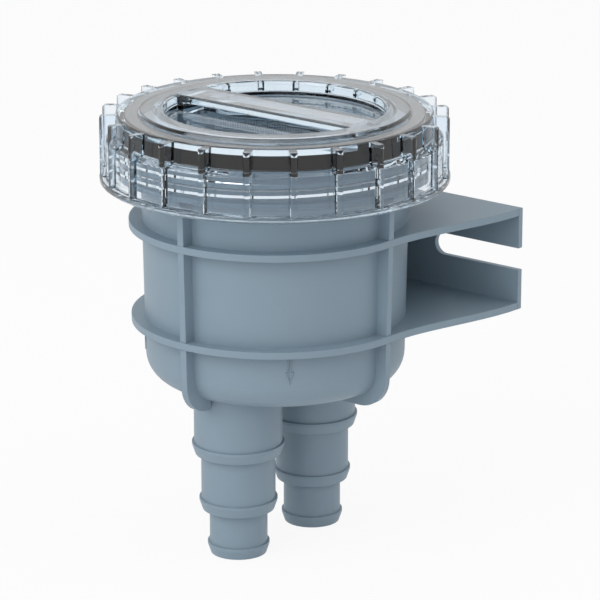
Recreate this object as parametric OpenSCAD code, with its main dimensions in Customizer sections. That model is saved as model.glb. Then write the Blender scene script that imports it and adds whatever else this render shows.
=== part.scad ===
// Bilge pump filter: a wall-mounted strainer bowl with two stepped hose spigots,
// a strainer basket that hangs in its neck, and a clear lid that screws on over a seal.
// Origin: middle of the wall plate's back face. +Y points into the wall, +Z is up.

/* [Wall bracket] */
// Width of the wall plate
plate_w = 151.6; // [144:0.2:180]
// Height of the wall plate, and of the box that the two rings close
plate_h = 45.2; // [36:0.2:56]
// Thickness of the wall plate
plate_t = 2.6; // [2:0.1:5]
// Thickness of each ring and of the flange that it runs out into
ring_t = 3.1; // [2:0.1:5]
// Clearance between the wall and the lid
wall_gap = 1.2; // [0.8:0.1:20]
// Width of each screw slot
slot_w = 9.8; // [6:0.1:14]
// Distance from the middle of the plate to the closed end of each slot
slot_start = 31; // [20:0.5:50]

/* [Bowl] */
// Outer radius of the bowl where it meets the neck
bowl_r = 57.3; // [52:0.1:66]
// Taper of the bowl's wall in degrees
bowl_draft = 1; // [0:0.1:2]
// Thickness of the bowl's wall
wall_t = 3; // [2:0.1:4]
// Thickness of the bowl's floor
floor_t = 3.5; // [2.5:0.1:6]
// Height from the underside of the bowl to the lower ring
bowl_drop = 25.9; // [20:0.1:40]
// Height from the upper ring to the neck
neck_rise = 21; // [16:0.1:40]
// Radius of the bowl's bottom edge
bowl_round = 12; // [8:0.5:16]

/* [Ribs] */
// Reach of the rings and ribs beyond the bowl's wall
rib_out = 5.7; // [4:0.1:7]
// Thickness of each upright rib
rib_t = 3.2; // [2:0.1:5]
// Reach of the ribs below the bowl
foot_drop = 4.1; // [2:0.1:8]
// Gap between each rib's foot and the spigot behind it
foot_gap = 0.7; // [0.5:0.1:4]
// Radius of each rib's outer corner under the bowl
foot_round = 13.5; // [6:0.5:16]
// How much less the ribs reach out at their feet
foot_taper = 0.8; // [0:0.1:2]

/* [Spigots] */
// Distance on the radius from the outside of a spigot to the outside of the bowl
spigot_edge = 12.8; // [11.8:0.1:15]
// Hose bore that fits the upper step
large_hose = 38; // [36:0.5:39]
// Hose bore that fits the middle step
mid_hose = 32; // [30:0.5:34]
// Hose bore that fits the lower step
small_hose = 25; // [23:0.5:28]
// Length of the upper step, down to its barb
large_len = 23.5; // [18:0.5:40]
// Length from the upper barb to the middle one
mid_len = 25.3; // [18:0.1:40]
// Length from the middle barb to the lower one
small_len = 20.2; // [15:0.1:40]
// Reach of each barb beyond its hose bore, on the radius
barb_out = 0.9; // [0.5:0.1:1.4]
// Height of each barb
barb_h = 5.1; // [3:0.1:8]
// Height of the straight land at the top of each barb
barb_land = 1.2; // [0.8:0.1:2]
// How much smaller the radius of each barb is at its lower end
barb_taper = 1.3; // [0.5:0.1:1.6]
// Thickness of the spigots' walls
tube_t = 3; // [2:0.1:4]
// Height of the inlet's standpipe above the bowl's floor
pipe_h = 66; // [30:1:80]
// Thickness of the standpipe's wall
pipe_t = 2.2; // [1.6:0.1:3]

/* [Flow arrows] */
// Length of the arrow's shaft
shaft_len = 5.7; // [4:0.1:8]
// Width of the arrow's shaft
shaft_w = 1.6; // [1.4:0.1:2.4]
// Length of the arrow's head
head_len = 5.2; // [3:0.1:7]
// Width of the arrow's head
head_w = 3.8; // [3:0.1:6]
// Width of the raised line
line_w = 0.45; // [0.3:0.05:0.6]
// Height of the raised line
line_h = 0.4; // [0.2:0.1:0.8]

/* [Neck and thread] */
// Height of the neck
neck_h = 15.3; // [14:0.1:24]
// Width of the neck's rim outside the seal
neck_edge = 0.6; // [0.2:0.1:3]
// Height of the collar under the thread
collar_h = 2.3; // [1.6:0.1:3]
// Depth of the thread
thread_depth = 2.4; // [1.6:0.1:2.8]
// Rise of the thread in one turn
pitch = 6; // [5.4:0.1:6.4]
// Clearance between the thread and the collar below it
thread_low_gap = 0.4; // [0.2:0.1:2]
// Clearance between the thread and the neck's rim above it
thread_top_gap = 1.04; // [0.8:0.02:3]
// Half height of the thread's root
thread_root = 1.7; // [1.4:0.1:1.8]
// Half height of the thread's crest
thread_crest = 0.9; // [0.6:0.1:1.1]
// Clearance between the two threads on the radius
thread_gap = 0.5; // [0.3:0.1:0.8]

/* [Seal] */
// Height of the seal
seal_h = 6.4; // [4:0.1:8]
// Distance on the radius from the basket's seat to the seal
seal_inset = 0.65; // [0.3:0.05:2]
// Width of the seal's section
seal_w = 5; // [4:0.1:5.2]
// Clearance between the seal and the lid on the radius
seal_gap = 0.5; // [0.2:0.1:0.8]

/* [Lid] */
// Reach of the lid's ribs and rim beyond its wall
lid_rib_out = 2.9; // [1.5:0.1:5]
// Thickness of the lid's top where it is flat
lid_t = 3.6; // [3:0.1:6.5]
// Thickness of the lid's wall around the seal
lid_wall = 3.6; // [2.5:0.1:4]
// Thickness of the lid's wall around the thread
skirt_wall = 5; // [3.5:0.1:5.6]
// Height of the lid from its rim to the flat of its top
lid_h = 29.8; // [28.5:0.1:36]
// Height of the rim at the bottom of the lid
rim_h = 2.8; // [2:0.1:4]
// Height of the raised middle above the flat of the lid's top
raised_h = 1.6; // [0.8:0.1:2.4]
// Width of the flat ring round the raised middle
flat_w = 10; // [6:0.1:14]
// Number of ribs round the lid
lid_ribs = 24; // [12:1:36]
// Thickness of each of the lid's ribs
lid_rib_t = 3.2; // [2:0.1:5]
// Depth of the two finger pockets
pocket_d = 6.8; // [5.5:0.1:8]
// Distance from the finger pockets' edge to the edge of the raised middle
pocket_edge = 10; // [8:0.1:20]
// Thickness of the pockets' floor and walls
pocket_t = 3.5; // [2.5:0.1:4]
// Width of the grip bar between the pockets
bar_w = 19.6; // [14:0.2:26]

/* [Basket] */
// Clearance between the basket and the bowl's wall
basket_gap = 1.7; // [1.2:0.1:2.4]
// Height of the basket's underside above the bowl's floor
basket_lift = 5; // [4:0.1:9]
// Thickness of the basket's rim
basket_rim_t = 1.8; // [1.2:0.1:2.2]
// Depth of the seat for the basket's rim in the neck
seat_d = 0.9; // [0.5:0.1:1.4]
// Width of the seat for the basket's rim, from the bowl's inner radius at the neck
seat_w = 3.45; // [2.4:0.05:5]
// Thickness of the basket's wall
frame_t = 1.6; // [1.2:0.1:2.2]
// Thickness of the basket's floor
basket_floor_t = 2; // [1.4:0.1:3]
// Height of the plain band below the basket's rim
band_h = 6; // [5:0.1:10]
// Number of columns of windows in the basket
window_columns = 16; // [14:1:20]
// Number of rows of windows in the basket
window_rows = 5; // [5:1:7]
// Width of the bars between the windows
bar_t = 4; // [2.5:0.1:6]
// Width of each small hole in the band
perforation_w = 1.7; // [1:0.1:2]
// Height of each small hole in the band
perforation_h = 1.3; // [0.8:0.1:2]
// Number of small holes in the band
perforations = 90; // [60:1:96]
// Width of each square hole in the basket's floor
floor_hole = 4; // [2:0.1:5]
// Spacing of the square holes in the basket's floor
floor_pitch = 7; // [6:0.1:10]
// Thickness of the fine screen
screen_t = 0.8; // [0.6:0.1:1.2]
// Clearance round the fine screen and round the standpipe
basket_fit = 0.2; // [0.15:0.05:0.4]

/* [Hidden] */

// Heights from the middle of the wall plate
ring_top = plate_h / 2;
ring_low = -plate_h / 2;
neck_z = ring_top + neck_rise;
rim_z = neck_z + neck_h;
seat_z = rim_z - seat_d;
bowl_z = ring_low - bowl_drop;
floor_z = bowl_z + floor_t;
foot_z = bowl_z - foot_drop;
pipe_z = floor_z + pipe_h;

// Spigot steps, from the bowl down
large_r = large_hose / 2;
mid_r = mid_hose / 2;
small_r = small_hose / 2;
large_z = bowl_z - large_len;
mid_z = large_z - mid_len;
small_z = mid_z - small_len;
spigot_z = small_z - barb_h;
spigot_gap = 2 * (bowl_r - spigot_edge - large_r);
foot_in = spigot_gap / 2 + large_r + foot_gap;
side_foot_in = spigot_gap / 2 + large_r / 2;
foot_corner = 1.8;
bore_r = large_r - tube_t;
pipe_r = bore_r + pipe_t;

// Basket's seat, seal, neck and thread, from the inside out
seat_r = bowl_r - wall_t + seat_w;
seal_in = seat_r + seal_inset;
seal_r = seal_in + seal_w;
seal_round = 0.3;
neck_r = seal_r + neck_edge;
crest_r = neck_r + thread_depth;
thread_z = neck_z + collar_h + thread_low_gap + thread_root;
thread_rise = rim_z - thread_top_gap - thread_root - thread_z;
thread_turns = thread_rise / pitch;
thread_root_in = 0.8;
thread_run_out = 4;
turn_steps = 48;

// Lid
lid_under = rim_z + seal_h;
lid_flat = lid_under + lid_t;
lid_top = lid_flat + raised_h;
lid_low = lid_flat - lid_h;
lid_rim_z = lid_low + rim_h;
seal_seat_r = seal_r + seal_gap;
upper_r = seal_seat_r + lid_wall;
lid_bore = crest_r + thread_gap;
skirt_r = lid_bore + skirt_wall;
lid_r = skirt_r + lid_rib_out;
lid_rib_r = lid_r - 0.2;
lid_rib_top = lid_flat - 0.2;
lid_rib_round = 0.49 * lid_rib_t;
raised_r = upper_r - flat_w;
raised_lean = 0.5;
shoulder_low = rim_z - 1.5;
shoulder_top = rim_z - 0.2;
ledge_top = rim_z + 0.8;
ledge_low = ledge_top - 2;
upper_draft = 0.5;
pocket_r = raised_r - pocket_edge;
pocket_z = lid_top - pocket_d;
pocket_round = 1.5;
pocket_draft = 0.8;
pocket_under = pocket_z - pocket_t;
boss_r = pocket_r + pocket_t;
wall_offset = lid_r + wall_gap;

// Basket
basket_low = floor_z + basket_lift;
basket_floor_z = basket_low + basket_floor_t;
basket_top = seat_z + basket_rim_t;
basket_rim_r = seat_r - 0.4;
band_z = seat_z - band_h;
basket_round = 5;
hoop_t = 2.5;
row_h = (band_z - basket_floor_z - hoop_t) / window_rows;
pipe_hole_r = pipe_r + basket_fit;
screen_top = band_z + 2;

// The cutters of the basket's windows and perforations run through its leaning wall
cutter_in = basket_r(basket_low) - frame_t - 4;
cutter_len = basket_r(seat_z) + 4 - cutter_in;
perforation_drop = 0.5;

// Flow arrows
arrow_gap = 1.9;
arrow_z = ring_low - arrow_gap;
arrow_low = arrow_z - shaft_len - head_len;

HOUSING_COLOUR = [0.50, 0.57, 0.63];
CLEAR_COLOUR = [0.86, 0.89, 0.91, 0.35];
SEAL_COLOUR = [0.09, 0.09, 0.09];
BASKET_COLOUR = [0.58, 0.65, 0.70];
SCREEN_COLOUR = [0.66, 0.71, 0.75];

// Radius of the bowl's outer wall at a height
function wall_r(z) = bowl_r - (neck_z - z) * tan(bowl_draft);

// Radius of the bowl's inner wall at a height
function inner_r(z) = wall_r(z) - wall_t;

// Outer radius of the basket at a height
function basket_r(z) = inner_r(z) - basket_gap;

// Outer radius of the fine screen at a height
function screen_r(z) = basket_r(z) - frame_t - basket_fit;

// Points of an arc that rounds the corner p between a and b
function corner(a, p, b, r, n = 5) =
    r <= 0 ? [p] :
    let (
        u = (a - p) / norm(a - p),
        v = (b - p) / norm(b - p),
        half = acos(u * v) / 2,
        c = p + (u + v) / norm(u + v) * r / sin(half),
        s = p + u * r / tan(half),
        e = p + v * r / tan(half),
        from = atan2(s.y - c.y, s.x - c.x),
        turn = atan2(e.y - c.y, e.x - c.x) - from,
        sweep = turn > 180 ? turn - 360 : turn < -180 ? turn + 360 : turn
    )
    [for (i = [0 : n]) c + r * [cos(from + sweep * i / n), sin(from + sweep * i / n)]];

// Outline whose corners are given as [x, y, radius]
function rounded(list) =
    let (n = len(list))
    [
        for (i = [0 : n - 1])
            let (a = list[(i + n - 1) % n], p = list[i], b = list[(i + 1) % n])
            each corner([a.x, a.y], [p.x, p.y], [b.x, b.y], p.z, p.z > 6 ? 10 : 5)
    ];

// Smooth step from 0 to 1
function ease(s) = s * s * (3 - 2 * s);

module on_axis() {
    translate([0, -wall_offset, 0]) children();
}

module revolve(outline) {
    rotate_extrude($fn = 144) polygon(outline);
}

// Upright plate of thickness t whose outline is given as [radius, height]
module radial_plate(outline, t, angle) {
    rotate([90, 0, angle]) translate([0, 0, -t / 2]) linear_extrude(t) polygon(outline);
}

// One thread ridge, from inside its wall at radius "root" to its crest at radius "crest"
module thread(root, crest) {
    steps = round(thread_turns * turn_steps);
    lean = (thread_root - thread_crest) / thread_depth;
    reach = abs(crest - root);
    root_half = thread_crest + lean * reach;
    points = [
        for (k = [0 : steps])
            let (
                full = min(1, k / thread_run_out, (steps - k) / thread_run_out),
                r = root + (crest - root) * (0.15 + 0.85 * full),
                half = root_half - lean * abs(r - root),
                a = 360 * k / turn_steps,
                z = thread_z + pitch * k / turn_steps
            )
            each [
                [root * cos(a), root * sin(a), z - root_half],
                [r * cos(a), r * sin(a), z - half],
                [r * cos(a), r * sin(a), z + half],
                [root * cos(a), root * sin(a), z + root_half]
            ]
    ];
    sides = [
        for (k = [0 : steps - 1], j = [0 : 3])
            let (a = 4 * k + j, b = 4 * k + (j + 1) % 4)
            each [[a, a + 4, b], [b, a + 4, b + 4]]
    ];
    first = [[0, 1, 2], [0, 2, 3]];
    last = [[4 * steps, 4 * steps + 2, 4 * steps + 1], [4 * steps, 4 * steps + 3, 4 * steps + 2]];
    faces = concat(sides, first, last);
    outward = [for (f = faces) [f[2], f[1], f[0]]];
    polyhedron(points, crest > root ? outward : faces);
}

module bowl_outside() {
    revolve(rounded([
        [0, bowl_z, 0],
        [wall_r(bowl_z), bowl_z, bowl_round],
        [bowl_r, neck_z, 0],
        [crest_r, neck_z, 0.4],
        [crest_r, neck_z + collar_h, 0.6],
        [neck_r, neck_z + collar_h, 0.3],
        [neck_r, rim_z, 1.2],
        [0, rim_z, 0]
    ]));
}

module bowl_inside() {
    revolve(rounded([
        [0, floor_z, 0],
        [inner_r(floor_z), floor_z, bowl_round - wall_t],
        [inner_r(seat_z), seat_z, 0],
        [seat_r, seat_z, 0],
        [seat_r, rim_z + 1, 0],
        [0, rim_z + 1, 0]
    ]));
}

// Ring round the bowl whose flange widens to the wall plate
module ring(top) {
    r = wall_r(top) + rib_out;
    side = [
        for (i = [0 : 10])
            [r + (plate_w / 2 - r) * ease(i / 10), wall_offset * i / 10]
    ];
    other = [for (i = [10 : -1 : 0]) [-side[i].x, side[i].y]];
    translate([0, 0, top - ring_t]) {
        linear_extrude(ring_t) polygon(concat(side, other));
        cylinder(h = ring_t, r = r, $fn = 144);
    }
}

// Upright rib whose foot reaches in to the radius "inner"
module upright_rib(angle, inner) {
    foot_out = wall_r(foot_z) + rib_out - foot_taper;
    radial_plate(rounded([
        [inner, bowl_z + floor_t / 2, 0],
        [inner, foot_z, foot_corner],
        [foot_out, foot_z, min(foot_round, foot_out - inner - foot_corner)],
        [bowl_r + rib_out, neck_z + collar_h / 2, 0],
        [bowl_r - wall_t / 2, neck_z + collar_h / 2, 0],
        [bowl_r - bowl_round, bowl_z + floor_t / 2, 0]
    ]), rib_t, angle);
}

module wall_plate() {
    translate([0, wall_offset, 0]) difference() {
        translate([-plate_w / 2, -plate_t, ring_low]) cube([plate_w, plate_t, plate_h]);
        for (side = [-1, 1]) {
            slot_x = side * (slot_start + slot_w / 2);
            slot_len = plate_w / 2 - slot_start - slot_w / 2 + 1;
            translate([slot_x, 1, 0]) rotate([90, 0, 0]) cylinder(h = plate_t + 2, r = slot_w / 2, $fn = 48);
            translate([side > 0 ? slot_x : slot_x - slot_len, -plate_t - 1, -slot_w / 2])
                cube([slot_len, plate_t + 2, slot_w]);
        }
    }
}

module spigot_outside() {
    top = bowl_z + floor_t / 2;
    revolve([
        [0, spigot_z],
        [small_r + barb_out - barb_taper, spigot_z],
        [small_r + barb_out, small_z - barb_land],
        [small_r + barb_out, small_z],
        [small_r, small_z],
        [small_r, mid_z - barb_h],
        [mid_r + barb_out - barb_taper, mid_z - barb_h],
        [mid_r + barb_out, mid_z - barb_land],
        [mid_r + barb_out, mid_z],
        [mid_r, mid_z],
        [mid_r, large_z - barb_h],
        [large_r + barb_out - barb_taper, large_z - barb_h],
        [large_r + barb_out, large_z - barb_land],
        [large_r + barb_out, large_z],
        [large_r, large_z],
        [large_r, top],
        [0, top]
    ]);
}

module spigot_bore(top) {
    revolve([
        [0, spigot_z - 1],
        [small_r - tube_t, spigot_z - 1],
        [small_r - tube_t, mid_z - barb_h],
        [mid_r - tube_t, mid_z],
        [mid_r - tube_t, large_z - barb_h],
        [bore_r, large_z],
        [bore_r, top],
        [0, top]
    ]);
}

// Arrow outline whose point is down, from its top at 0
function arrow_outline(inset) = [
    [-shaft_w / 2 + inset, -inset],
    [-shaft_w / 2 + inset, -shaft_len - inset],
    [-head_w / 2 + 2 * inset, -shaft_len - inset],
    [0, -shaft_len - head_len + 2.6 * inset],
    [head_w / 2 - 2 * inset, -shaft_len - inset],
    [shaft_w / 2 - inset, -shaft_len - inset],
    [shaft_w / 2 - inset, -inset]
];

// Raised arrow on the bowl's wall, below the lower ring
module flow_arrow(angle) {
    low = arrow_low - 1;
    intersection() {
        rotate([90, 0, angle + 90]) translate([0, arrow_z, 0]) linear_extrude(bowl_r + rib_out) difference() {
            polygon(arrow_outline(0));
            polygon(arrow_outline(line_w));
        }
        revolve([
            [wall_r(low) - wall_t / 2, low],
            [wall_r(low) + line_h, low],
            [wall_r(ring_low) + line_h, ring_low],
            [wall_r(ring_low) - wall_t / 2, ring_low]
        ]);
    }
}

module housing() {
    color(HOUSING_COLOUR) on_axis() difference() {
        union() {
            difference() {
                union() {
                    bowl_outside();
                    ring(ring_top);
                    ring(ring_low + ring_t);
                    upright_rib(-90, foot_in);
                    for (angle = [0, 180]) upright_rib(angle, side_foot_in);
                    for (side = [-1, 1]) translate([0, side * spigot_gap / 2, 0]) spigot_outside();
                    for (angle = [-135, -45]) flow_arrow(angle);
                    thread(neck_r - thread_root_in, crest_r);
                }
                bowl_inside();
            }
            wall_plate();
            translate([0, spigot_gap / 2, floor_z - 1]) cylinder(h = pipe_h + 1, r = pipe_r, $fn = 96);
        }
        translate([0, -spigot_gap / 2, 0]) spigot_bore(floor_z + 1);
        translate([0, spigot_gap / 2, 0]) spigot_bore(pipe_z + 1);
    }
}

module lid_seal() {
    color(SEAL_COLOUR) on_axis() revolve(rounded([
        [seal_in, rim_z, seal_round],
        [seal_r, rim_z, seal_round],
        [seal_r, lid_under, seal_round],
        [seal_in, lid_under, seal_round]
    ]));
}

module lid_shell() {
    revolve(rounded([
        [0, lid_top, 0],
        [raised_r, lid_top, 0.6],
        [raised_r + raised_lean, lid_flat, 0.3],
        [upper_r, lid_flat, 1],
        [upper_r + upper_draft, ledge_top, 0.8],
        [skirt_r, ledge_low, 1.2],
        [skirt_r, lid_rim_z, 0.8],
        [lid_r, lid_rim_z, 0.8],
        [lid_r, lid_low, 1.2],
        [lid_bore, lid_low, 0.8],
        [lid_bore, shoulder_low, 0.5],
        [seal_seat_r, shoulder_top, 0.5],
        [seal_seat_r, lid_under, 0.3],
        [boss_r, lid_under, 0.8],
        [boss_r, pocket_under, 0.8],
        [0, pocket_under, 0]
    ]));
}

// Rib of the lid, with its two outer upright edges rounded
module lid_rib(angle) {
    rib_in = upper_r - lid_wall / 2;
    skirt_mid = lid_bore + skirt_wall / 2;
    low = lid_rim_z - 0.6;
    half = lid_rib_t / 2;
    intersection() {
        radial_plate(rounded([
            [rib_in, lid_rib_top, 0],
            [lid_rib_r, lid_rib_top, 1.5],
            [lid_rib_r, low, 0],
            [skirt_mid, low, 0],
            [skirt_mid, ledge_low, 0],
            [rib_in, ledge_top + 1, 0]
        ]), lid_rib_t + 1, angle);
        rotate([0, 0, angle]) translate([0, 0, low - 1]) linear_extrude(lid_rib_top - low + 2) polygon(rounded([
            [rib_in - 1, -half, 0],
            [lid_rib_r, -half, lid_rib_round],
            [lid_rib_r, half, lid_rib_round],
            [rib_in - 1, half, 0]
        ]));
    }
}

// The space of both finger pockets, on either side of the grip bar
module finger_pockets() {
    difference() {
        revolve(rounded([
            [0, pocket_z, 0],
            [pocket_r - pocket_draft, pocket_z, 1],
            [pocket_r, lid_top, pocket_round],
            [pocket_r + 2 * pocket_round, lid_top, 0],
            [pocket_r + 2 * pocket_round, lid_top + 1, 0],
            [0, lid_top + 1, 0]
        ]));
        rotate([90, 0, 90]) translate([0, 0, -pocket_r - 4]) linear_extrude(2 * pocket_r + 8) polygon(rounded([
            [-bar_w / 2 - 0.4, pocket_z - 1, 0],
            [bar_w / 2 + 0.4, pocket_z - 1, 0],
            [bar_w / 2, lid_top, 1.2],
            [-bar_w / 2, lid_top, 1.2]
        ]));
    }
}

// The hollow under the grip bar
module bar_hollow() {
    roof = lid_top - pocket_t;
    w = bar_w - 2 * pocket_t + 1;
    length = 2 * (pocket_r - pocket_t);
    translate([-length / 2, -w / 2, pocket_under - 1]) cube([length, w, roof - pocket_under + 1]);
}

module lid() {
    color(CLEAR_COLOUR) on_axis() {
        difference() {
            union() {
                lid_shell();
                for (i = [0 : lid_ribs - 1]) lid_rib(360 * i / lid_ribs);
            }
            finger_pockets();
            bar_hollow();
        }
        rotate([0, 0, 180]) thread(lid_bore + thread_root_in, lid_bore - thread_depth);
    }
}

module basket_windows() {
    window_w = 2 * basket_r(basket_low) * tan(180 / window_columns) - bar_t;
    for (row = [0 : window_rows - 1], i = [0 : window_columns - 1])
        rotate([0, 0, 360 * (i + 0.5) / window_columns])
            translate([cutter_in, -window_w / 2, basket_floor_z + hoop_t + row * row_h])
                cube([cutter_len, window_w, row_h - hoop_t]);
}

module band_perforations() {
    for (i = [0 : perforations - 1])
        rotate([0, 0, 360 * i / perforations])
            translate([cutter_in, -perforation_w / 2, seat_z - perforation_drop - perforation_h])
                cube([cutter_len, perforation_w, perforation_h]);
}

module floor_holes() {
    reach = screen_r(basket_low) - screen_t - basket_round;
    n = ceil(reach / floor_pitch);
    clear = pipe_hole_r + 2;
    for (i = [-n : n], j = [-n : n]) {
        x = i * floor_pitch;
        y = (j + 0.5) * floor_pitch;
        from_pipe = norm([x, y - spigot_gap / 2]);
        if (norm([x, y]) < reach - floor_hole && from_pipe > clear + floor_hole)
            translate([x - floor_hole / 2, y - floor_hole / 2, basket_low - 1])
                cube([floor_hole, floor_hole, basket_floor_t + 2]);
    }
}

module basket() {
    color(BASKET_COLOUR) on_axis() difference() {
        revolve(rounded([
            [0, basket_low, 0],
            [basket_r(basket_low), basket_low, basket_round],
            [basket_r(seat_z), seat_z, 0],
            [basket_rim_r, seat_z, 0.3],
            [basket_rim_r, basket_top, 0.4],
            [basket_r(seat_z) - frame_t, basket_top, 0.5],
            [basket_r(basket_floor_z) - frame_t, basket_floor_z, 0],
            [0, basket_floor_z, 0]
        ]));
        basket_windows();
        band_perforations();
        floor_holes();
        translate([0, spigot_gap / 2, basket_low - 1]) cylinder(h = basket_floor_t + 2, r = pipe_hole_r, $fn = 96);
    }
}

module basket_screen() {
    low = basket_floor_z;
    color(SCREEN_COLOUR) on_axis() revolve([
        [screen_r(low) - screen_t, low],
        [screen_r(low), low],
        [screen_r(screen_top), screen_top],
        [screen_r(screen_top) - screen_t, screen_top]
    ]);
}

housing();
lid_seal();
lid();
basket();
basket_screen();
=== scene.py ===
"""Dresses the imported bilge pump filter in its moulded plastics, clear lid, rubber seal and fine screen."""

import logging
import math
from dataclasses import dataclass, field
from enum import Enum

import bpy
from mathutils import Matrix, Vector


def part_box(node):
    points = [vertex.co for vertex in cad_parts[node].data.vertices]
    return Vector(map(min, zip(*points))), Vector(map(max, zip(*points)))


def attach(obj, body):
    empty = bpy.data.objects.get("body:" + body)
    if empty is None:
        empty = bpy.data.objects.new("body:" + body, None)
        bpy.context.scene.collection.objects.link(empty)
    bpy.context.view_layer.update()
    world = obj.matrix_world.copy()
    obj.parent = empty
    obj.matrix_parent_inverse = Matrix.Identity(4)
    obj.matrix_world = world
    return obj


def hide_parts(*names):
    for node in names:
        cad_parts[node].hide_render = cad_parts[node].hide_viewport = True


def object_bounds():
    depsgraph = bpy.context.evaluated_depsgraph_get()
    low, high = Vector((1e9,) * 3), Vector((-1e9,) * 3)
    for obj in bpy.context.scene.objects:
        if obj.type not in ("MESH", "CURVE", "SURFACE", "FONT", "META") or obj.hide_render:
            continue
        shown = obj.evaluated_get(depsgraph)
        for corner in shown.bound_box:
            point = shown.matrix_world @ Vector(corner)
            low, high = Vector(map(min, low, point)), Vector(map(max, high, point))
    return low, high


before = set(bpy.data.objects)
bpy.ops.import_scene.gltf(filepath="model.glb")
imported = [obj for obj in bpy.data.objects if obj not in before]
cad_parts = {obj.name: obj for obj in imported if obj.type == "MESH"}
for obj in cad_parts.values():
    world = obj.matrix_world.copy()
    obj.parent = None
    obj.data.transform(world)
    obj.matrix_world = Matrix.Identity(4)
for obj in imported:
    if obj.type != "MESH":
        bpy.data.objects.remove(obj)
CAD_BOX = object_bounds()

LOG = logging.getLogger("bilge_pump_filter")
MM = 0.001
FULL_TURN = 2 * math.pi
QUARTER_DEG = 90

# The sRGB curve is straight up to its knee and a power above it.
SRGB_KNEE = 0.04045
SRGB_SLOPE = 12.92
SRGB_OFFSET = 0.055
SRGB_POWER = 2.4

# A background colour and a strength of 1 show as plain white.
WHITE = "#ffffff"
WHITE_STRENGTH = 1.0

# A Mix node names its sockets alike for every kind of data, so its colours go by position.
MIX_FACTOR = 0
MIX_FIRST_COLOUR = 6
MIX_SECOND_COLOUR = 7
MIX_COLOUR_OUT = 2

# A square that stands on one corner: the section of the screen's rings and strands.
DIAMOND = ((1, 0), (0, 1), (-1, 0), (0, -1))

Point = tuple[float, float, float]
Colour = tuple[float, float, float, float]
RadiusHeight = tuple[float, float]


class Body(Enum):
    """The bodies that the scene's own pieces ride on."""

    HOUSING = "housing"
    SEAL = "seal"


class Part(Enum):
    """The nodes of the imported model."""

    HOUSING = "housing"
    SEAL = "lid_seal"
    LID = "lid"
    BASKET = "basket"
    SCREEN = "basket_screen"


def linear_colour(hex_code: str) -> Colour:
    """Turns an sRGB hex colour into Blender's linear colour.

    Args:
        hex_code: Six hex digits with a leading #.

    Returns:
        Linear red, green and blue, and an alpha of 1.
    """
    linear = []
    for i in (1, 3, 5):
        channel = int(hex_code[i:i + 2], 16) / 255
        if channel <= SRGB_KNEE:
            linear.append(channel / SRGB_SLOPE)
        else:
            linear.append(((channel + SRGB_OFFSET) / (1 + SRGB_OFFSET)) ** SRGB_POWER)
    return (linear[0], linear[1], linear[2], 1.0)


def add_node(
    tree: bpy.types.NodeTree,
    kind: str,
    settings: dict[str, object] | None = None,
    inputs: dict[str | int, object] | None = None,
    links: dict[str | int, bpy.types.NodeSocket] | None = None,
) -> bpy.types.Node:
    """Adds one node with its settings, socket values and incoming links.

    Args:
        tree: The node tree that the node joins.
        kind: The node's type, such as ShaderNodeBump.
        settings: Properties of the node itself.
        inputs: Values of its input sockets, by name or position.
        links: Output sockets that feed its input sockets, by name or position.

    Returns:
        The new node.
    """
    node = tree.nodes.new(kind)
    for name, value in (settings or {}).items():
        setattr(node, name, value)
    for name, value in (inputs or {}).items():
        node.inputs[name].default_value = value
    for name, socket in (links or {}).items():
        tree.links.new(socket, node.inputs[name])
    return node


def new_material(name: str) -> tuple[bpy.types.Material, bpy.types.NodeTree, bpy.types.Node]:
    """Makes an empty node material.

    Args:
        name: The material's name.

    Returns:
        The material, its tree and its output node.
    """
    material = bpy.data.materials.new(name)
    material.use_nodes = True
    tree = material.node_tree
    tree.nodes.clear()
    output = add_node(tree, "ShaderNodeOutputMaterial")
    return material, tree, output


def add_object(name: str, data: bpy.types.ID) -> bpy.types.Object:
    """Puts a mesh, a lamp or a camera into the scene.

    Args:
        name: The object's name.
        data: What the object holds.

    Returns:
        The new object.
    """
    item = bpy.data.objects.new(name, data)
    bpy.context.scene.collection.objects.link(item)
    return item


def direction_out(azimuth_deg: float, elevation_deg: float) -> Vector:
    """Finds the direction from the filter out to a camera or a lamp.

    Args:
        azimuth_deg: Angle round the filter, from its front towards its right.
        elevation_deg: Angle up from level.

    Returns:
        A vector of length 1.
    """
    azimuth = math.radians(azimuth_deg)
    elevation = math.radians(elevation_deg)
    return Vector((
        math.sin(azimuth) * math.cos(elevation),
        -math.cos(azimuth) * math.cos(elevation),
        math.sin(elevation),
    ))


def stand_off(item: bpy.types.Object, target: Point, direction: Vector, distance: float) -> None:
    """Stands a camera or a lamp away from a target and turns it to face it.

    Args:
        item: The camera or lamp.
        target: The point that it faces.
        direction: The way from the target to the item, of length 1.
        distance: How far the item stands from the target.
    """
    item.location = Vector(target) + direction * distance
    item.rotation_mode = "QUATERNION"
    item.rotation_quaternion = (-direction).to_track_quat("-Z", "Y")


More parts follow.
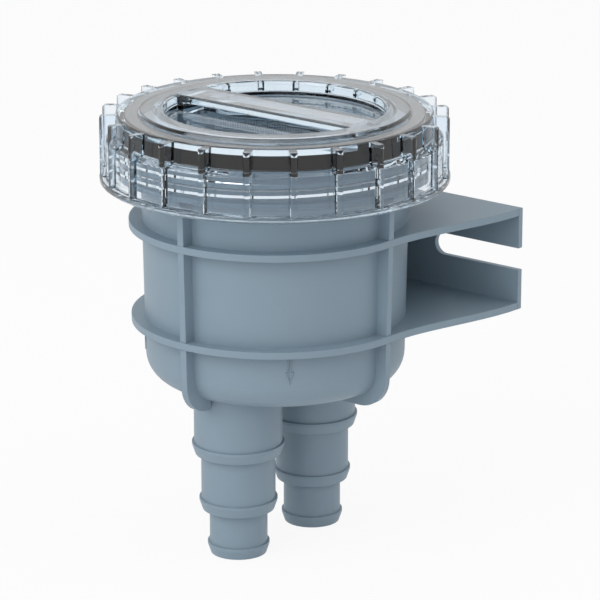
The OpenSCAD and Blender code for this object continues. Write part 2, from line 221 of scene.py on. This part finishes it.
@dataclass(frozen=True)
class SatinPolypropylene:
    """Polypropylene moulded in a lightly sand-blasted tool.

    The blasted tool leaves a fine even grain that spreads every highlight, the melt's flow leaves
    faint clouds in the tone, and the tool's broken edges leave each corner slightly round. The real
    grain is about 0.1 mm, too fine to show, so it is drawn as coarse as grain_mm says.
    """

    name: str
    colour: str
    cloud_colour: str
    roughness: float = 0.46
    roughness_spread: float = 0.05
    ior: float = 1.49
    specular_level: float = 0.35
    grain_mm: float = 0.5
    grain_detail: float = 2.0
    grain_height_mm: float = 0.012
    grain_strength: float = 0.6
    cloud_mm: float = 22.0
    cloud_detail: float = 3.0
    cloud_roughness: float = 0.6
    edge_mm: float = 0.35
    edge_samples: int = 6

    def build(self) -> bpy.types.Material:
        """Builds the material.

        Returns:
            The finished material.
        """
        material, tree, output = new_material(self.name)
        place = add_node(tree, "ShaderNodeTexCoord")
        clouds = add_node(
            tree,
            "ShaderNodeTexNoise",
            inputs={
                "Scale": 1 / (self.cloud_mm * MM),
                "Detail": self.cloud_detail,
                "Roughness": self.cloud_roughness,
            },
            links={"Vector": place.outputs["Object"]},
        )
        tone = add_node(
            tree,
            "ShaderNodeMix",
            settings={"data_type": "RGBA"},
            inputs={
                MIX_FIRST_COLOUR: linear_colour(self.colour),
                MIX_SECOND_COLOUR: linear_colour(self.cloud_colour),
            },
            links={MIX_FACTOR: clouds.outputs["Fac"]},
        )
        grain = add_node(
            tree,
            "ShaderNodeTexNoise",
            inputs={"Scale": 1 / (self.grain_mm * MM), "Detail": self.grain_detail},
            links={"Vector": place.outputs["Object"]},
        )
        edge = add_node(
            tree,
            "ShaderNodeBevel",
            settings={"samples": self.edge_samples},
            inputs={"Radius": self.edge_mm * MM},
        )
        bump = add_node(
            tree,
            "ShaderNodeBump",
            inputs={"Strength": self.grain_strength, "Distance": self.grain_height_mm * MM},
            links={"Height": grain.outputs["Fac"], "Normal": edge.outputs["Normal"]},
        )
        gloss = add_node(
            tree,
            "ShaderNodeMapRange",
            inputs={
                "To Min": self.roughness - self.roughness_spread,
                "To Max": self.roughness + self.roughness_spread,
            },
            links={"Value": clouds.outputs["Fac"]},
        )
        plastic = add_node(
            tree,
            "ShaderNodeBsdfPrincipled",
            inputs={"IOR": self.ior, "Specular IOR Level": self.specular_level},
            links={
                "Base Color": tone.outputs[MIX_COLOUR_OUT],
                "Roughness": gloss.outputs["Result"],
                "Normal": bump.outputs["Normal"],
            },
        )
        tree.links.new(plastic.outputs["BSDF"], output.inputs["Surface"])
        return material


@dataclass(frozen=True)
class ClearPolycarbonate:
    """Clear polycarbonate moulded in a polished tool.

    It bends light strongly, so its slightly round edges gather dark and bright lines, and lamps reach
    what lies behind it. Slow waves in the moulding make the lines waver a little. The bluing dye that
    hides the resin's own yellow shows where light runs far through it, along its walls and ribs:
    light that has gone deep_mm through it has the deep_tint.
    """

    name: str
    tint: str
    shadow_tint: str
    deep_tint: str
    deep_mm: float = 20.0
    roughness: float = 0.02
    ior: float = 1.585
    wave_mm: float = 9.0
    wave_detail: float = 1.0
    wave_height_mm: float = 0.02
    wave_strength: float = 0.5
    edge_mm: float = 0.25
    edge_samples: int = 4

    def build(self) -> bpy.types.Material:
        """Builds the material.

        Returns:
            The finished material.
        """
        material, tree, output = new_material(self.name)
        place = add_node(tree, "ShaderNodeTexCoord")
        waves = add_node(
            tree,
            "ShaderNodeTexNoise",
            inputs={"Scale": 1 / (self.wave_mm * MM), "Detail": self.wave_detail},
            links={"Vector": place.outputs["Object"]},
        )
        edge = add_node(
            tree,
            "ShaderNodeBevel",
            settings={"samples": self.edge_samples},
            inputs={"Radius": self.edge_mm * MM},
        )
        bump = add_node(
            tree,
            "ShaderNodeBump",
            inputs={"Strength": self.wave_strength, "Distance": self.wave_height_mm * MM},
            links={"Height": waves.outputs["Fac"], "Normal": edge.outputs["Normal"]},
        )
        clear = add_node(
            tree,
            "ShaderNodeBsdfPrincipled",
            inputs={
                "Base Color": linear_colour(self.tint),
                "Roughness": self.roughness,
                "IOR": self.ior,
                "Transmission Weight": 1.0,
            },
            links={"Normal": bump.outputs["Normal"]},
        )
        let_through = add_node(
            tree, "ShaderNodeBsdfTransparent", inputs={"Color": linear_colour(self.shadow_tint)}
        )
        path = add_node(tree, "ShaderNodeLightPath")
        mix = add_node(
            tree,
            "ShaderNodeMixShader",
            links={
                0: path.outputs["Is Shadow Ray"],
                1: clear.outputs["BSDF"],
                2: let_through.outputs["BSDF"],
            },
        )
        tree.links.new(mix.outputs["Shader"], output.inputs["Surface"])
        loss_per_m = [-math.log(c) / (self.deep_mm * MM) for c in linear_colour(self.deep_tint)[:3]]
        density = max(loss_per_m)
        dye = add_node(
            tree,
            "ShaderNodeVolumeAbsorption",
            inputs={"Color": (*(1 - loss / density for loss in loss_per_m), 1.0), "Density": density},
        )
        tree.links.new(dye.outputs["Volume"], output.inputs["Volume"])
        return material


@dataclass(frozen=True)
class NitrileRubber:
    """Black nitrile rubber moulded as a ring.

    Wetted against the lid's wall it loses its gloss, and is a flat deep black with the dust-like
    grain that carbon-filled rubber has. The real grain is too fine to show, so it is drawn as coarse
    as grain_mm says.
    """

    name: str
    colour: str
    roughness: float = 0.6
    ior: float = 1.52
    specular_level: float = 0.0
    grain_mm: float = 0.6
    grain_detail: float = 2.0
    grain_height_mm: float = 0.02
    grain_strength: float = 0.4

    def build(self) -> bpy.types.Material:
        """Builds the material.

        Returns:
            The finished material.
        """
        material, tree, output = new_material(self.name)
        place = add_node(tree, "ShaderNodeTexCoord")
        grain = add_node(
            tree,
            "ShaderNodeTexNoise",
            inputs={"Scale": 1 / (self.grain_mm * MM), "Detail": self.grain_detail},
            links={"Vector": place.outputs["Object"]},
        )
        bump = add_node(
            tree,
            "ShaderNodeBump",
            inputs={"Strength": self.grain_strength, "Distance": self.grain_height_mm * MM},
            links={"Height": grain.outputs["Fac"]},
        )
        rubber = add_node(
            tree,
            "ShaderNodeBsdfPrincipled",
            inputs={
                "Base Color": linear_colour(self.colour),
                "Roughness": self.roughness,
                "IOR": self.ior,
                "Specular IOR Level": self.specular_level,
            },
            links={"Normal": bump.outputs["Normal"]},
        )
        tree.links.new(rubber.outputs["BSDF"], output.inputs["Surface"])
        return material


HOUSING_PLASTIC = SatinPolypropylene("satin_grey_polypropylene", "#8295a2", "#8799a6")
# The basket is moulded in a paler shade than the housing. Its colour is also lightened further as painted
# light, standing in for lamplight that the clear lid keeps from it.
BASKET_PLASTIC = SatinPolypropylene("satin_basket_polypropylene", "#b0c0cc", "#b6c6d0")
# The screen is woven from drawn strands, so its grain is finer and its corners are hardly rounded.
SCREEN_PLASTIC = SatinPolypropylene(
    "fine_screen_polypropylene", "#b6c4ce", "#bccad4", grain_mm=0.3, edge_mm=0.05
)
LID_PLASTIC = ClearPolycarbonate("clear_polycarbonate", "#f2f7fc", "#ccd6dc", "#eaf3f8")
SEAL_RUBBER = NitrileRubber("black_nitrile_rubber", "#0c0c0d")


def dress(part: Part, finish: bpy.types.Material) -> bpy.types.Object:
    """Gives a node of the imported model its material.

    Args:
        part: The node.
        finish: Its material.

    Returns:
        The node's object.
    """
    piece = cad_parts[part.value]
    for slot in piece.material_slots:
        slot.material = finish
    return piece


@dataclass
class RoundMesh:
    """The corners and faces of a piece that is built round the bowl's axis."""

    centre_y: float
    verts: list[Point] = field(default_factory=list)
    faces: list[tuple[int, ...]] = field(default_factory=list)

    def add_ring(self, section: list[RadiusHeight], sides: int) -> None:
        """Turns a section round the axis into a closed ring.

        Args:
            section: Radius and height of each of the section's points, anticlockwise.
            sides: How many flat sides the ring has.
        """
        start = len(self.verts)
        count = len(section)
        for k in range(sides):
            angle = FULL_TURN * k / sides
            for r, z in section:
                self.verts.append((r * math.cos(angle), self.centre_y + r * math.sin(angle), z))
            here = start + count * k
            there = start + count * ((k + 1) % sides)
            for j in range(count):
                n = (j + 1) % count
                self.faces.append((here + j, there + j, there + n, here + n))

    def to_piece(self, name: str, finish: bpy.types.Material) -> bpy.types.Object:
        """Makes the piece.

        Args:
            name: The piece's name.
            finish: Its material.

        Returns:
            The piece's object.
        """
        mesh = bpy.data.meshes.new(name)
        mesh.from_pydata(self.verts, [], self.faces)
        mesh.validate()
        mesh.shade_smooth()
        mesh.materials.append(finish)
        return add_object(name, mesh)


@dataclass
class Housing:
    """The bowl, neck, rings, ribs, bracket and spigots in one moulding."""

    finish: SatinPolypropylene = HOUSING_PLASTIC

    def build(self) -> list[bpy.types.Object]:
        """Dresses the housing."""
        return [dress(Part.HOUSING, self.finish.build())]


@dataclass
class Lid:
    """The clear screw lid."""

    finish: ClearPolycarbonate = LID_PLASTIC

    def build(self) -> list[bpy.types.Object]:
        """Dresses the lid."""
        return [dress(Part.LID, self.finish.build())]


@dataclass
class Seal:
    """The rubber seal, pressed out into the lid's wall, with a film of air under the lid's flat face.

    The spread takes it from its node's outside, across the node's clearance, just into the wall.
    """

    finish: NitrileRubber = SEAL_RUBBER
    width: float = 5.4 * MM
    spread: float = 0.54 * MM
    edge: float = 0.2 * MM
    film: float = 0.02 * MM
    edge_steps: int = 5
    sides: int = 192

    def build(self) -> list[bpy.types.Object]:
        """Builds the seal.

        Returns:
            The seal's object, in a list.
        """
        low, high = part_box(Part.SEAL.value)
        outer = (high.x - low.x) / 2 + self.spread
        ring = RoundMesh(centre_y=(low.y + high.y) / 2)
        ring.add_ring(self.section(outer, low.z, high.z), self.sides)
        seal = ring.to_piece("rubber_seal", self.finish.build())
        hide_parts(Part.SEAL.value)
        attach(seal, Body.SEAL.value)
        return [seal]

    def section(self, outer: float, low_z: float, high_z: float) -> list[RadiusHeight]:
        """Outlines the seal's section with its rounded edges.

        Args:
            outer: The seal's outer radius.
            low_z: Height of its underside.
            high_z: Height of the lid's face above it.

        Returns:
            Radius and height of each point, anticlockwise.
        """
        inner = outer - self.width
        top = high_z - self.film
        corners = [
            (outer - self.edge, low_z + self.edge),
            (outer - self.edge, top - self.edge),
            (inner + self.edge, top - self.edge),
            (inner + self.edge, low_z + self.edge),
        ]
        points = []
        for i, (r, z) in enumerate(corners):
            start_deg = QUARTER_DEG * (i - 1)
            for step in range(self.edge_steps + 1):
                angle = math.radians(start_deg + QUARTER_DEG * step / self.edge_steps)
                points.append((r + self.edge * math.cos(angle), z + self.edge * math.sin(angle)))
        return points


@dataclass
class Basket:
    """The strainer basket and the fine screen inside its windows.

    The screen's rings stand out and its upright strands stand in from the weave's middle, each by
    crossing_share of a strand's thickness, so that they cross and touch.
    """

    finish: SatinPolypropylene = BASKET_PLASTIC
    screen_finish: SatinPolypropylene = SCREEN_PLASTIC
    mesh_pitch: float = 1.15 * MM
    strand: float = 0.42 * MM
    crossing_share: float = 0.35
    draft_deg: float = 1.0
    ring_sides: int = 144

    def build(self) -> list[bpy.types.Object]:
        """Dresses the basket and weaves its screen.

        Returns:
            The objects of the basket and the screen.
        """
        basket = dress(Part.BASKET, self.finish.build())
        screen = self.weave_screen().to_piece("fine_screen", self.screen_finish.build())
        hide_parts(Part.SCREEN.value)
        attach(screen, Body.HOUSING.value)
        return [basket, screen]

    def weave_screen(self) -> RoundMesh:
        """Weaves the screen from rings and upright strands that cross each other.

        Returns:
            The screen's mesh.
        """
        low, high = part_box(Part.SCREEN.value)
        height = high.z - low.z
        top_r = (high.x - low.x) / 2 - self.strand
        lean = math.tan(math.radians(self.draft_deg))
        weave = RoundMesh(centre_y=(low.y + high.y) / 2)

        def radius_at(z: float) -> float:
            """Radius of the weave's middle at a height."""
            return top_r - (high.z - z) * lean

        half = self.strand / 2
        rings = int(height / self.mesh_pitch)
        for i in range(rings + 1):
            z = low.z + half + i * (height - self.strand) / rings
            radius = radius_at(z) + self.strand * self.crossing_share
            section = [(radius + half * out, z + half * up) for out, up in DIAMOND]
            weave.add_ring(section, self.ring_sides)
        strands = int(FULL_TURN * top_r / self.mesh_pitch)
        foot = (radius_at(low.z), low.z)
        head = (radius_at(high.z), high.z)
        for i in range(strands):
            self.add_strand(weave, FULL_TURN * i / strands, foot, head)
        return weave

    def add_strand(
        self, weave: RoundMesh, angle: float, foot: RadiusHeight, head: RadiusHeight
    ) -> None:
        """Adds one upright strand with a square section and closed ends.

        Args:
            weave: The screen's mesh so far.
            angle: Where the strand stands round the axis.
            foot: Radius and height of the weave's middle at the strand's lower end.
            head: Radius and height of the weave's middle at its upper end.
        """
        half = self.strand / 2
        start = len(weave.verts)
        count = len(DIAMOND)
        side = Vector((-math.sin(angle), math.cos(angle), 0))
        out = Vector((math.cos(angle), math.sin(angle), 0))
        for radius, z in (foot, head):
            inset = radius - self.strand * self.crossing_share
            middle = Vector((0, weave.centre_y, z)) + out * inset
            for across, along in DIAMOND:
                weave.verts.append(tuple(middle + side * half * across + out * half * along))
        for j in range(count):
            n = (j + 1) % count
            weave.faces.append((start + j, start + n, start + count + n, start + count + j))
        weave.faces.append(tuple(start + j for j in reversed(range(count))))
        weave.faces.append(tuple(start + count + j for j in range(count)))


@dataclass
class Camera:
    """A long lens that looks down on the filter from its right front."""

    aim: Point = (0.0, -0.05895, -0.01931)
    azimuth_deg: float = 38.6065
    elevation_deg: float = 16.7888
    distance: float = 1.53515
    lens_mm: float = 211.9
    nearest: float = 0.05
    farthest: float = 50.0

    def build(self) -> None:
        """Makes the camera and makes it the scene's."""
        data = bpy.data.cameras.new("studio_camera")
        data.lens = self.lens_mm
        data.clip_start = self.nearest
        data.clip_end = self.farthest
        camera = add_object("studio_camera", data)
        stand_off(camera, self.aim, direction_out(self.azimuth_deg, self.elevation_deg), self.distance)
        bpy.context.scene.camera = camera


@dataclass
class SoftBox:
    """One square studio lamp, placed round the filter as seen from the camera."""

    name: str
    turn_deg: float
    elevation_deg: float
    power: float
    distance: float = 1.6
    size: float = 1.2
    aim: Point = (0.0, -0.07, 0.0)

    def build(self, camera_azimuth_deg: float) -> None:
        """Makes the lamp.

        Args:
            camera_azimuth_deg: The camera's own azimuth, from which turn_deg counts to the left.
        """
        data = bpy.data.lights.new(self.name, "AREA")
        data.shape = "SQUARE"
        data.size = self.size
        data.energy = self.power
        direction = direction_out(camera_azimuth_deg - self.turn_deg, self.elevation_deg)
        stand_off(add_object(self.name, data), self.aim, direction, self.distance)


@dataclass
class Studio:
    """The floor, the surroundings and the lamps.

    What the camera sees of the floor is plain white by white_share, and the rest shows the shadow.
    The white backdrop fades in between backdrop_from and backdrop_to, which say how far a direction
    points away from the camera, from -1 to 1.
    """

    camera_azimuth_deg: float
    floor_size: float = 12.0
    floor_colour: str = "#f2f3f4"
    white_share: float = 0.9
    ambient: float = 0.65
    backdrop_from: float = -0.1
    backdrop_to: float = 0.5
    lamps: list[SoftBox] = field(default_factory=lambda: [
        SoftBox("key_left", turn_deg=56, elevation_deg=30, power=7.6),
        SoftBox("front_left", turn_deg=25, elevation_deg=35, power=4.2),
        SoftBox("fill_right", turn_deg=-90, elevation_deg=35, power=2.5),
    ])

    def build(self) -> None:
        """Builds the floor, the world and the lamps."""
        self.build_floor()
        self.build_world()
        for lamp in self.lamps:
            lamp.build(self.camera_azimuth_deg)

    def build_floor(self) -> None:
        """Lays the floor at the filter's lowest point."""
        low = CAD_BOX[0].z
        half = self.floor_size / 2
        mesh = bpy.data.meshes.new("floor")
        corners = [(-half, -half, low), (half, -half, low), (half, half, low), (-half, half, low)]
        mesh.from_pydata(corners, [], [(0, 1, 2, 3)])
        floor = add_object("floor", mesh)
        material, tree, output = new_material("pale_floor")
        diffuse = add_node(
            tree, "ShaderNodeBsdfDiffuse", inputs={"Color": linear_colour(self.floor_colour)}
        )
        white = add_node(tree, "ShaderNodeEmission", inputs={"Strength": WHITE_STRENGTH})
        share = add_node(
            tree,
            "ShaderNodeMath",
            settings={"operation": "MULTIPLY"},
            inputs={1: self.white_share},
            links={0: self.seen_rays(tree)},
        )
        mix = add_node(
            tree,
            "ShaderNodeMixShader",
            links={0: share.outputs[0], 1: diffuse.outputs["BSDF"], 2: white.outputs["Emission"]},
        )
        tree.links.new(mix.outputs["Shader"], output.inputs["Surface"])
        mesh.materials.append(material)

    def build_world(self) -> None:
        """Makes the surroundings: plain light all round, a white backdrop behind the filter."""
        world = bpy.data.worlds.new("studio")
        bpy.context.scene.world = world
        world.use_nodes = True
        tree = world.node_tree
        tree.nodes.clear()
        output = add_node(tree, "ShaderNodeOutputWorld")
        place = add_node(tree, "ShaderNodeTexCoord")
        behind = add_node(
            tree,
            "ShaderNodeVectorMath",
            settings={"operation": "DOT_PRODUCT"},
            inputs={1: -direction_out(self.camera_azimuth_deg, 0)},
            links={0: place.outputs["Generated"]},
        )
        backdrop = add_node(
            tree,
            "ShaderNodeMapRange",
            inputs={"From Min": self.backdrop_from, "From Max": self.backdrop_to},
            links={"Value": behind.outputs["Value"]},
        )
        ambient = add_node(
            tree,
            "ShaderNodeBackground",
            inputs={"Color": linear_colour(WHITE), "Strength": self.ambient},
        )
        white = add_node(
            tree,
            "ShaderNodeBackground",
            inputs={"Color": linear_colour(WHITE), "Strength": WHITE_STRENGTH},
        )
        mix = add_node(
            tree,
            "ShaderNodeMixShader",
            links={
                0: self.seen_rays(tree, backdrop.outputs["Result"]),
                1: ambient.outputs["Background"],
                2: white.outputs["Background"],
            },
        )
        tree.links.new(mix.outputs["Shader"], output.inputs["Surface"])

    @staticmethod
    def seen_rays(
        tree: bpy.types.NodeTree, behind: bpy.types.NodeSocket | None = None
    ) -> bpy.types.NodeSocket:
        """Adds the nodes that pick out the rays that show the background.

        Args:
            tree: The tree of the floor or the world.
            behind: How much of the white backdrop lies in the ray's direction, or None for all of it.

        Returns:
            A socket that is 0 once a ray has met a dull face. Before that it is 1 for rays straight
            from the camera, and behind for rays off a glossy face or through clear plastic.
        """
        path = add_node(tree, "ShaderNodeLightPath")
        bent = add_node(
            tree,
            "ShaderNodeMath",
            settings={"operation": "ADD"},
            links={0: path.outputs["Is Glossy Ray"], 1: path.outputs["Is Transmission Ray"]},
        )
        seen = add_node(
            tree,
            "ShaderNodeMath",
            settings={"operation": "MULTIPLY_ADD"},
            inputs={1: 1.0},
            links={0: bent.outputs[0], 2: path.outputs["Is Camera Ray"]},
        )
        if behind is not None:
            tree.links.new(behind, seen.inputs[1])
        between_none_and_one = 0.5
        before_dull = add_node(
            tree,
            "ShaderNodeMath",
            settings={"operation": "LESS_THAN"},
            inputs={1: between_none_and_one},
            links={0: path.outputs["Diffuse Depth"]},
        )
        total = add_node(
            tree,
            "ShaderNodeMath",
            settings={"operation": "MULTIPLY", "use_clamp": True},
            links={0: seen.outputs[0], 1: before_dull.outputs[0]},
        )
        return total.outputs[0]


def main() -> None:
    """Builds the studio and the filter's pieces in order, and reports each piece."""
    logging.basicConfig(level=logging.INFO, format="%(name)s %(message)s")
    bpy.context.scene.view_settings.view_transform = "Standard"
    camera = Camera()
    camera.build()
    studio = Studio(camera.azimuth_deg)
    studio.build()
    LOG.info("studio: floor, world and %d lamps", len(studio.lamps))
    for assembly in (Housing(), Lid(), Seal(), Basket()):
        for piece in assembly.build():
            finish = piece.material_slots[0].material
            LOG.info("%s: %d faces in %s", piece.name, len(piece.data.polygons), finish.name)


if __name__ == "__main__":
    main()
